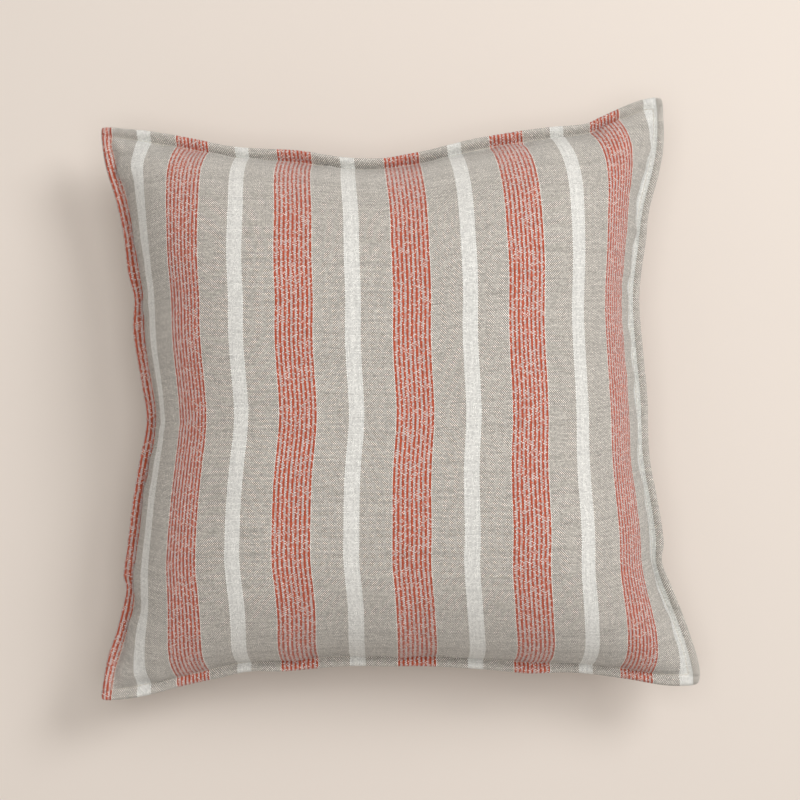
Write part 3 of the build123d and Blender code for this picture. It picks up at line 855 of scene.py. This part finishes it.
fill_points = np.concatenate([fill_top.reshape(-1, 3), fill_bottom.reshape(-1, 3)])
filling = insert_piece("fibre_filling", fill_points, fill_faces, "insert_fill")
print("insert pieces:", ", ".join(sorted(piece.name for piece in [*ticking.values(), filling])))

# %% [markdown]
# ## A small kit for patterns
# A woven stripe is arithmetic: which yarn are we on, is it over or under, what colour is it. Blender's
# Math nodes can say all that. A few helpers keep the node trees readable: each makes one node and
# gives back its output.

# %% Helpers for node patterns
class Pattern:
    """A material's node tree, with short ways to add to it."""

    def __init__(self, name):
        self.material = bpy.data.materials.new(name)
        self.material.use_nodes = True
        self.tree = self.material.node_tree
        self.shader = self.tree.nodes["Principled BSDF"]

    def node(self, kind, **settings):
        made = self.tree.nodes.new(kind)
        for key, value in settings.items():
            setattr(made, key, value)
        return made

    def feed(self, socket, value):
        if isinstance(value, (int, float, tuple)):
            socket.default_value = value
        else:
            self.tree.links.new(value, socket)

    def math(self, operation, *values, clamp=False):
        made = self.node("ShaderNodeMath", operation=operation, use_clamp=clamp)
        for socket, value in zip(made.inputs, values):
            self.feed(socket, value)
        return made.outputs[0]

    def mix(self, share, first, second):
        made = self.node("ShaderNodeMix", data_type="RGBA")
        self.feed(made.inputs[0], share)
        self.feed(made.inputs[6], first)
        self.feed(made.inputs[7], second)
        return made.outputs[2]

    def shade(self, colour, amount):
        """A colour made lighter or darker by a factor."""
        made = self.node("ShaderNodeVectorMath", operation="SCALE")
        self.feed(made.inputs[0], colour[:3] if isinstance(colour, tuple) else colour)
        self.feed(made.inputs["Scale"], amount)
        return made.outputs[0]

    def noise(self, vector, scale, detail=2.0, rough=0.5):
        made = self.node("ShaderNodeTexNoise")
        self.feed(made.inputs["Vector"], vector)
        made.inputs["Scale"].default_value = scale
        made.inputs["Detail"].default_value = detail
        made.inputs["Roughness"].default_value = rough
        return made.outputs["Fac"]

    def place(self, x, y, z=0.0):
        made = self.node("ShaderNodeCombineXYZ")
        for socket, value in zip(made.inputs, (x, y, z)):
            self.feed(socket, value)
        return made.outputs[0]

    def chance(self, x, y=0.0):
        """A steady random number for each whole x and y."""
        made = self.node("ShaderNodeTexWhiteNoise", noise_dimensions="2D")
        self.feed(made.inputs["Vector"], self.place(x, y))
        return made.outputs["Value"]

    def bump(self, height, distance, strength=1.0):
        made = self.node("ShaderNodeBump")
        made.inputs["Distance"].default_value = distance
        made.inputs["Strength"].default_value = strength
        self.feed(made.inputs["Height"], height)
        self.feed(self.shader.inputs["Normal"], made.outputs[0])

    def finish(self, **sockets):
        for name, value in sockets.items():
            self.feed(self.shader.inputs[name.replace("_", " ")], value)
        return self.material


# %% [markdown]
# ## Striped linen
# The cloth is a plain weave of thick, uneven flax yarns, about 0.85 mm apart. The stripes are in the
# warp, the yarns that run up the pillow: a repeat every 90 mm, with a solid white stripe half way
# between two red ones. Each red stripe is nine red lines, two yarns wide, with eight white lines
# between them.
#
# On the real cloth the weft is one pale colour, and the thick red warp mostly hides it. Here the weft
# takes on most of the colour of the line that it crosses, which is simpler and gives the same depth of
# red. Across the white lines of a red stripe the weft is a darker dusky pink: partly a pink tint and
# partly painted shade, for the shade between the thick red yarns. About one crossing in four keeps more
# of its own colour, so that the lines look beaded.
#
# An image would show its own grain up close and needs unwrapping, so the weave is worked out from the
# yarn numbers instead. Thick places, called slubs, come from noise stretched along each yarn.

# %% The weave's numbers
WARP_PITCH = 0.85 * MM
WEFT_PITCH = 0.93 * MM
REPEAT = 90 * MM
FIRST_RED = 76 * MM          # middle of the first red stripe, from the left line of stitches
LINE = 2 * WARP_PITCH        # a red or white line is two yarns wide
RED_HALF = 8.5 * LINE        # nine red and eight white lines
WHITE_HALF = 6 * MM
STRAY_FROM = 0.72            # crossings whose chance is above this look out of place
SLUB_APART = 3.7             # keeps the slubs of one yarn apart from those of the next
SLUB_RATE = 90               # slubs per metre, roughly
FLAX = (0.238, 0.214, 0.182, 1)
FLAX_WEFT = (0.800, 0.765, 0.712, 1)
CREAM = (0.790, 0.790, 0.760, 1)
CORAL = (0.480, 0.060, 0.009, 1)
# The weft across the white lines of a red stripe: a pink tint, darkened as painted shade for the shade
# between the thick red yarns.
SHADED_DUSKY_PINK = (0.420, 0.205, 0.160, 1)
LILAC_WHITE = (0.715, 0.660, 0.665, 1)


def striped_linen():
    """The cover's cloth, from yarn numbers on the weave map."""
    k = Pattern("striped_linen")
    weave = k.node("ShaderNodeUVMap", uv_map="weave").outputs[0]
    split = k.node("ShaderNodeSeparateXYZ")
    k.feed(split.inputs[0], weave)

    # Yarns wander a little from their straight lines.
    def wander(offset, scale, reach):
        place = k.node("ShaderNodeVectorMath", operation="ADD")
        k.feed(place.inputs[0], weave)
        place.inputs[1].default_value = (offset, 0, 0)
        return k.math("MULTIPLY", k.math("SUBTRACT", k.noise(place.outputs[0], scale, 3), 0.5), reach)

    u = k.math("ADD", split.outputs[0], wander(0, 60, 0.5 * MM))
    v = k.math("ADD", split.outputs[1], wander(3, 45, 0.9 * MM))
    warp, weft = k.math("DIVIDE", u, WARP_PITCH), k.math("DIVIDE", v, WEFT_PITCH)
    warp_number, weft_number = k.math("FLOOR", warp), k.math("FLOOR", weft)
    warp_across = k.math("SUBTRACT", k.math("FRACT", warp), 0.5)
    weft_across = k.math("SUBTRACT", k.math("FRACT", weft), 0.5)

    # Where in the repeat is this warp yarn? 0 is the middle of a red stripe.
    yarn_u = k.math("MULTIPLY", k.math("ADD", warp_number, 0.5), WARP_PITCH)
    shifted = k.math("ADD", yarn_u, 10.5 * REPEAT - FIRST_RED)
    from_red = k.math("ABSOLUTE", k.math("SUBTRACT", k.math("MODULO", shifted, REPEAT), REPEAT / 2))
    in_red = k.math("LESS_THAN", from_red, RED_HALF)
    in_edge = k.math("SUBTRACT", k.math("LESS_THAN", from_red, RED_HALF + LINE / 2), in_red)
    in_white = k.math("GREATER_THAN", from_red, REPEAT / 2 - WHITE_HALF)
    line = k.math("FLOOR", k.math("DIVIDE", k.math("ADD", from_red, LINE / 2), LINE))
    odd_line = k.math("ABSOLUTE", k.math("MODULO", line, 2.0))
    red_line = k.math("MULTIPLY", in_red, k.math("SUBTRACT", 1.0, odd_line))
    pale_line = k.math("MULTIPLY", in_red, odd_line)

    # Over or under, and how uneven each yarn is along its length.
    over = k.math("ABSOLUTE", k.math("MODULO", k.math("ADD", warp_number, weft_number), 2.0))
    under = k.math("SUBTRACT", 1.0, over)
    along_warp = k.place(k.math("MULTIPLY", warp_number, SLUB_APART), k.math("MULTIPLY", v, SLUB_RATE))
    along_weft = k.place(k.math("MULTIPLY", u, SLUB_RATE), k.math("MULTIPLY", weft_number, SLUB_APART), 5.0)
    warp_slub, weft_slub = k.noise(along_warp, 1.0, 2), k.noise(along_weft, 1.0, 2)
    cell = k.chance(warp_number, weft_number)

    def unevenness(yarn, slub):
        """Brightness from the yarn's own shade, its slubs and the single cell."""
        total = k.math("ADD", k.math("MULTIPLY", yarn, 0.22), k.math("MULTIPLY", slub, 0.50))
        return k.math("ADD", k.math("ADD", 0.43, total), k.math("MULTIPLY", cell, 0.43))

    def evened(tone):
        """The white stripe is spun more evenly than the flax."""
        short_of_even = k.math("SUBTRACT", 1.0, tone)
        return k.math("ADD", tone, k.math("MULTIPLY", short_of_even, k.math("MULTIPLY", in_white, 0.3)))

    warp_tone = evened(unevenness(k.chance(warp_number), warp_slub))
    weft_tone = evened(unevenness(k.chance(weft_number, 7.0), weft_slub))

    warp_colour = k.mix(in_white, FLAX, CREAM)
    warp_colour = k.mix(k.math("MULTIPLY", in_edge, 0.6), warp_colour, CREAM)
    warp_colour = k.mix(pale_line, warp_colour, LILAC_WHITE)
    stray = k.math("GREATER_THAN", cell, STRAY_FROM)
    stray_pale = k.math("MULTIPLY", pale_line, stray)
    warp_colour = k.mix(k.math("MULTIPLY", stray_pale, 0.7), warp_colour, CORAL)
    warp_colour = k.mix(red_line, warp_colour, CORAL)
    weft_colour = k.mix(k.math("MULTIPLY", in_white, 0.9), FLAX_WEFT, CREAM)
    # Painted shade: across the white lines of a red stripe the weft is a darker dusky pink.
    weft_colour = k.mix(k.math("MULTIPLY", pale_line, 0.7), weft_colour, SHADED_DUSKY_PINK)
    red_share = k.math("SUBTRACT", 0.92, k.math("MULTIPLY", stray, 0.6))
    weft_colour = k.mix(k.math("MULTIPLY", red_line, red_share), weft_colour, CORAL)

    # Each yarn is round: highest along its middle, and it dives where it goes under.
    def roundness(across):
        return k.math("SUBTRACT", 1.0, k.math("MULTIPLY", k.math("MULTIPLY", across, across), 4.0))

    def yarn_top(own, crossing, on_top, slub):
        """Height of a yarn's surface: round across, arched along, low where it goes under."""
        arched = k.math("ADD", 0.3, k.math("MULTIPLY", roundness(crossing), 0.7))
        level = k.math("ADD", 0.36, k.math("MULTIPLY", on_top, 0.64))
        width = k.math("ADD", 0.80, k.math("MULTIPLY", slub, 0.40))
        rounded = k.math("MULTIPLY", roundness(own), arched)
        return k.math("MULTIPLY", k.math("MULTIPLY", rounded, level), width)

    warp_top = yarn_top(warp_across, weft_across, over, warp_slub)
    weft_top = yarn_top(weft_across, warp_across, under, weft_slub)
    warp_shows = k.math("GREATER_THAN", warp_top, weft_top)
    height = k.math("MAXIMUM", warp_top, weft_top)

    colour = k.mix(warp_shows, k.shade(weft_colour, weft_tone), k.shade(warp_colour, warp_tone))
    # Painted shade: the colour is darkened where the weave is low, in the hollows between and under the
    # yarns, and lighter on the yarn tops.
    painted_hollow_shade = k.math("ADD", 0.42, k.math("MULTIPLY", height, 0.98))
    patches = k.math("ADD", 0.94, k.math("MULTIPLY", k.noise(weave, 22, 3), 0.12))
    k.bump(height, 0.35 * MM, 0.8)
    return k.finish(Base_Color=k.shade(k.shade(colour, painted_hollow_shade), patches), Roughness=0.92,
                    Specular_IOR_Level=0.18, Sheen_Weight=0.3, Sheen_Roughness=0.5,
                    Sheen_Tint=(0.93, 0.98, 1.0, 1))


LINEN = striped_linen()
for piece in (front_linen, back_upper_linen, back_lower_linen):
    piece.data.materials.append(LINEN)
print("striped linen uses", len(LINEN.node_tree.nodes), "nodes")

# %% [markdown]
# ## The other finishes
# The thread is spun flax. The tape is a narrow herringbone. The coil is one smooth nylon filament. The
# slider, its pull and the stops are nickel with a dull antique finish, darker and brighter in random
# patches. The ticking is tight plain cotton, the labels are blank satin ribbon.

# %% Thread, tape, coil, metal, ticking, fibre and labels
def spun_thread():
    k = Pattern("spun_thread")
    place = k.node("ShaderNodeTexCoord").outputs["Object"]
    fibres = k.noise(place, 1800, 3, 0.7)
    tone = k.math("ADD", 0.75, k.math("MULTIPLY", fibres, 0.5))
    k.bump(fibres, 0.12 * MM, 0.7)
    return k.finish(Base_Color=k.shade((0.56, 0.52, 0.45), tone), Roughness=0.8, Sheen_Weight=0.3,
                    Specular_IOR_Level=0.25)


def herringbone_tape():
    k = Pattern("herringbone_tape")
    split = k.node("ShaderNodeSeparateXYZ")
    k.feed(split.inputs[0], k.node("ShaderNodeTexCoord").outputs["Object"])
    along, across = split.outputs[0], split.outputs[1]
    zigzag = k.math("PINGPONG", k.math("DIVIDE", across, 1.8 * MM), 1.0)
    rib = k.math("FRACT", k.math("ADD", k.math("DIVIDE", along, 0.8 * MM), k.math("MULTIPLY", zigzag, 1.6)))
    height = k.math("PINGPONG", rib, 0.5)
    # Painted shade: the colour is darker where the ribs are low, in the grooves of the herringbone.
    tone = k.math("ADD", 0.72, k.math("MULTIPLY", height, 0.6))
    k.bump(height, 0.2 * MM, 0.8)
    return k.finish(Base_Color=k.shade((0.47, 0.42, 0.35), tone), Roughness=0.75, Sheen_Weight=0.2)


def nylon_filament():
    k = Pattern("nylon_filament")
    place = k.node("ShaderNodeTexCoord").outputs["Object"]
    tone = k.math("ADD", 0.9, k.math("MULTIPLY", k.noise(place, 300, 2), 0.2))
    return k.finish(Base_Color=k.shade((0.50, 0.44, 0.36), tone), Roughness=0.34)


def antique_nickel():
    k = Pattern("antique_nickel")
    place = k.node("ShaderNodeTexCoord").outputs["Object"]
    split = k.node("ShaderNodeSeparateXYZ")
    k.feed(split.inputs[0], place)
    brushed = k.noise(k.place(k.math("MULTIPLY", split.outputs[0], 8.0), split.outputs[1], split.outputs[2]),
                      700, 4, 0.6)
    tarnish = k.noise(place, 240, 4, 0.6)
    colour = k.mix(k.math("MULTIPLY", tarnish, 1.3, clamp=True), (0.16, 0.13, 0.10, 1), (0.62, 0.57, 0.50, 1))
    rough = k.math("ADD", 0.26, k.math("MULTIPLY", brushed, 0.24))
    k.bump(brushed, 0.03 * MM, 0.5)
    return k.finish(Base_Color=colour, Roughness=rough, Metallic=1.0)


def plain_weave(name, pitch, colour, sheen):
    """A fine even plain weave on the weave map."""
    k = Pattern(name)
    split = k.node("ShaderNodeSeparateXYZ")
    k.feed(split.inputs[0], k.node("ShaderNodeUVMap", uv_map="weave").outputs[0])
    x = k.math("SINE", k.math("MULTIPLY", split.outputs[0], math.pi / pitch))
    y = k.math("SINE", k.math("MULTIPLY", split.outputs[1], math.pi / pitch))
    height = k.math("ABSOLUTE", k.math("MULTIPLY", x, y))
    # Painted shade: the colour is darker where the weave is low, between the yarns.
    tone = k.math("ADD", 0.86, k.math("MULTIPLY", height, 0.22))
    k.bump(height, 0.15 * MM, 0.6)
    return k.finish(Base_Color=k.shade(colour, tone), Roughness=0.85, Sheen_Weight=sheen)


def loose_fibre():
    k = Pattern("loose_fibre")
    place = k.node("ShaderNodeTexCoord").outputs["Object"]
    tufts = k.noise(place, 60, 6, 0.7)
    k.bump(tufts, 3 * MM, 0.8)
    tone = k.math("ADD", 0.8, k.math("MULTIPLY", tufts, 0.3))
    return k.finish(Base_Color=k.shade((0.83, 0.82, 0.79), tone), Roughness=0.95, Sheen_Weight=0.5)


def satin_ribbon():
    k = Pattern("satin_ribbon")
    split = k.node("ShaderNodeSeparateXYZ")
    k.feed(split.inputs[0], k.node("ShaderNodeTexCoord").outputs["Object"])
    lines = k.math("PINGPONG", k.math("DIVIDE", split.outputs[1], 0.35 * MM), 0.5)
    # Painted shade: the colour is darker between the fine raised lines of the satin.
    tone = k.math("ADD", 0.9, k.math("MULTIPLY", lines, 0.16))
    k.bump(lines, 0.05 * MM, 0.5)
    return k.finish(Base_Color=k.shade((0.80, 0.79, 0.76), tone), Roughness=0.45, Sheen_Weight=0.2)


THREAD = spun_thread()
NICKEL = antique_nickel()
NYLON = nylon_filament()
TAPE = herringbone_tape()
RIBBON = satin_ribbon()
TICKING = plain_weave("cotton_ticking", 0.5 * MM, (0.80, 0.78, 0.73), 0.2)
for piece in (flange_stitches, zip_stitches):
    piece.data.materials.append(THREAD)
for piece in coils:
    piece.data.materials.append(NYLON)
for piece in ticking.values():
    piece.data.materials.append(TICKING)
filling.data.materials.append(loose_fibre())
CAD_FINISHES = {"zip_slider": NICKEL, "zip_pull": NICKEL, "zip_top_stops": NICKEL, "zip_bottom_stop": NICKEL,
                "zip_tape_upper": TAPE, "zip_tape_lower": TAPE, "insert_seam_thread": THREAD,
                "insert_closing_thread": THREAD, "care_label": RIBBON, "insert_label": RIBBON}
for name, finish in CAD_FINISHES.items():
    frame["nodes"][name].data.materials.clear()
    frame["nodes"][name].data.materials.append(finish)
print("finishes on the measured pieces:", len(CAD_FINISHES))

# %% [markdown]
# ## Floor, light and camera
# The pillow lies on a plain warm floor, the same colour all over. A large soft lamp on the upper right
# gives the soft shadow down the left side. A second one overhead evens out the two sides, and a pale
# sky fills the rest. The camera looks straight down.

# %% Floor
def plain_floor():
    k = Pattern("floor_paint")
    place = k.node("ShaderNodeNewGeometry").outputs["Position"]
    tone = k.math("ADD", 0.99, k.math("MULTIPLY", k.noise(place, 3.0, 2), 0.02))
    return k.finish(Base_Color=k.shade((0.735, 0.672, 0.615, 1), tone), Roughness=0.9)


FLOOR_HALF = 6.0
floor = new_object("floor", [(-FLOOR_HALF, -FLOOR_HALF, 0), (FLOOR_HALF, -FLOOR_HALF, 0),
                             (FLOOR_HALF, FLOOR_HALF, 0), (-FLOOR_HALF, FLOOR_HALF, 0)], [(0, 1, 2, 3)])
floor.location.z = -0.0005
floor.data.materials.append(plain_floor())

# %% Lights
def soft_lamp(name, place, aim, size, power, colour):
    """A square area lamp at a place, turned towards a point."""
    lamp = bpy.data.lights.new(name, "AREA")
    lamp.shape = "SQUARE"
    lamp.size = size
    lamp.energy = power
    lamp.color = colour
    holder = bpy.data.objects.new(name, lamp)
    bpy.context.scene.collection.objects.link(holder)
    holder.location = place
    direction = np.array(aim) - np.array(place)
    holder.rotation_euler = Vector(direction).to_track_quat("-Z", "Y").to_euler()
    return holder


soft_lamp("window_light", (1.3, 0.95, 1.85), (0, 0, 0.05), 0.9, 28, (1.0, 0.995, 0.99))
soft_lamp("ceiling_light", (0.0, 0.1, 2.6), (0, 0, 0), 1.6, 25, (1.0, 1.0, 1.0))
world = bpy.data.worlds.new("studio")
world.use_nodes = True
world.node_tree.nodes["Background"].inputs[0].default_value = (1.0, 0.93, 0.86, 1)
world.node_tree.nodes["Background"].inputs[1].default_value = 0.42
bpy.context.scene.world = world

# %% Camera
CAMERA_ABOVE_SEAM = 1.59
FRAME_WIDTH = 0.640          # width of the picture at the height of the seam
camera_data = bpy.data.cameras.new("camera")
camera_data.sensor_width = 36
camera_data.lens = 36 * CAMERA_ABOVE_SEAM / FRAME_WIDTH
camera = bpy.data.objects.new("camera", camera_data)
bpy.context.scene.collection.objects.link(camera)
camera.location = (0, -0.001, SEAM_Z + CAMERA_ABOVE_SEAM)
bpy.context.scene.camera = camera
bpy.context.scene.view_settings.view_transform = "Standard"
print("camera lens:", round(camera_data.lens, 1), "mm")
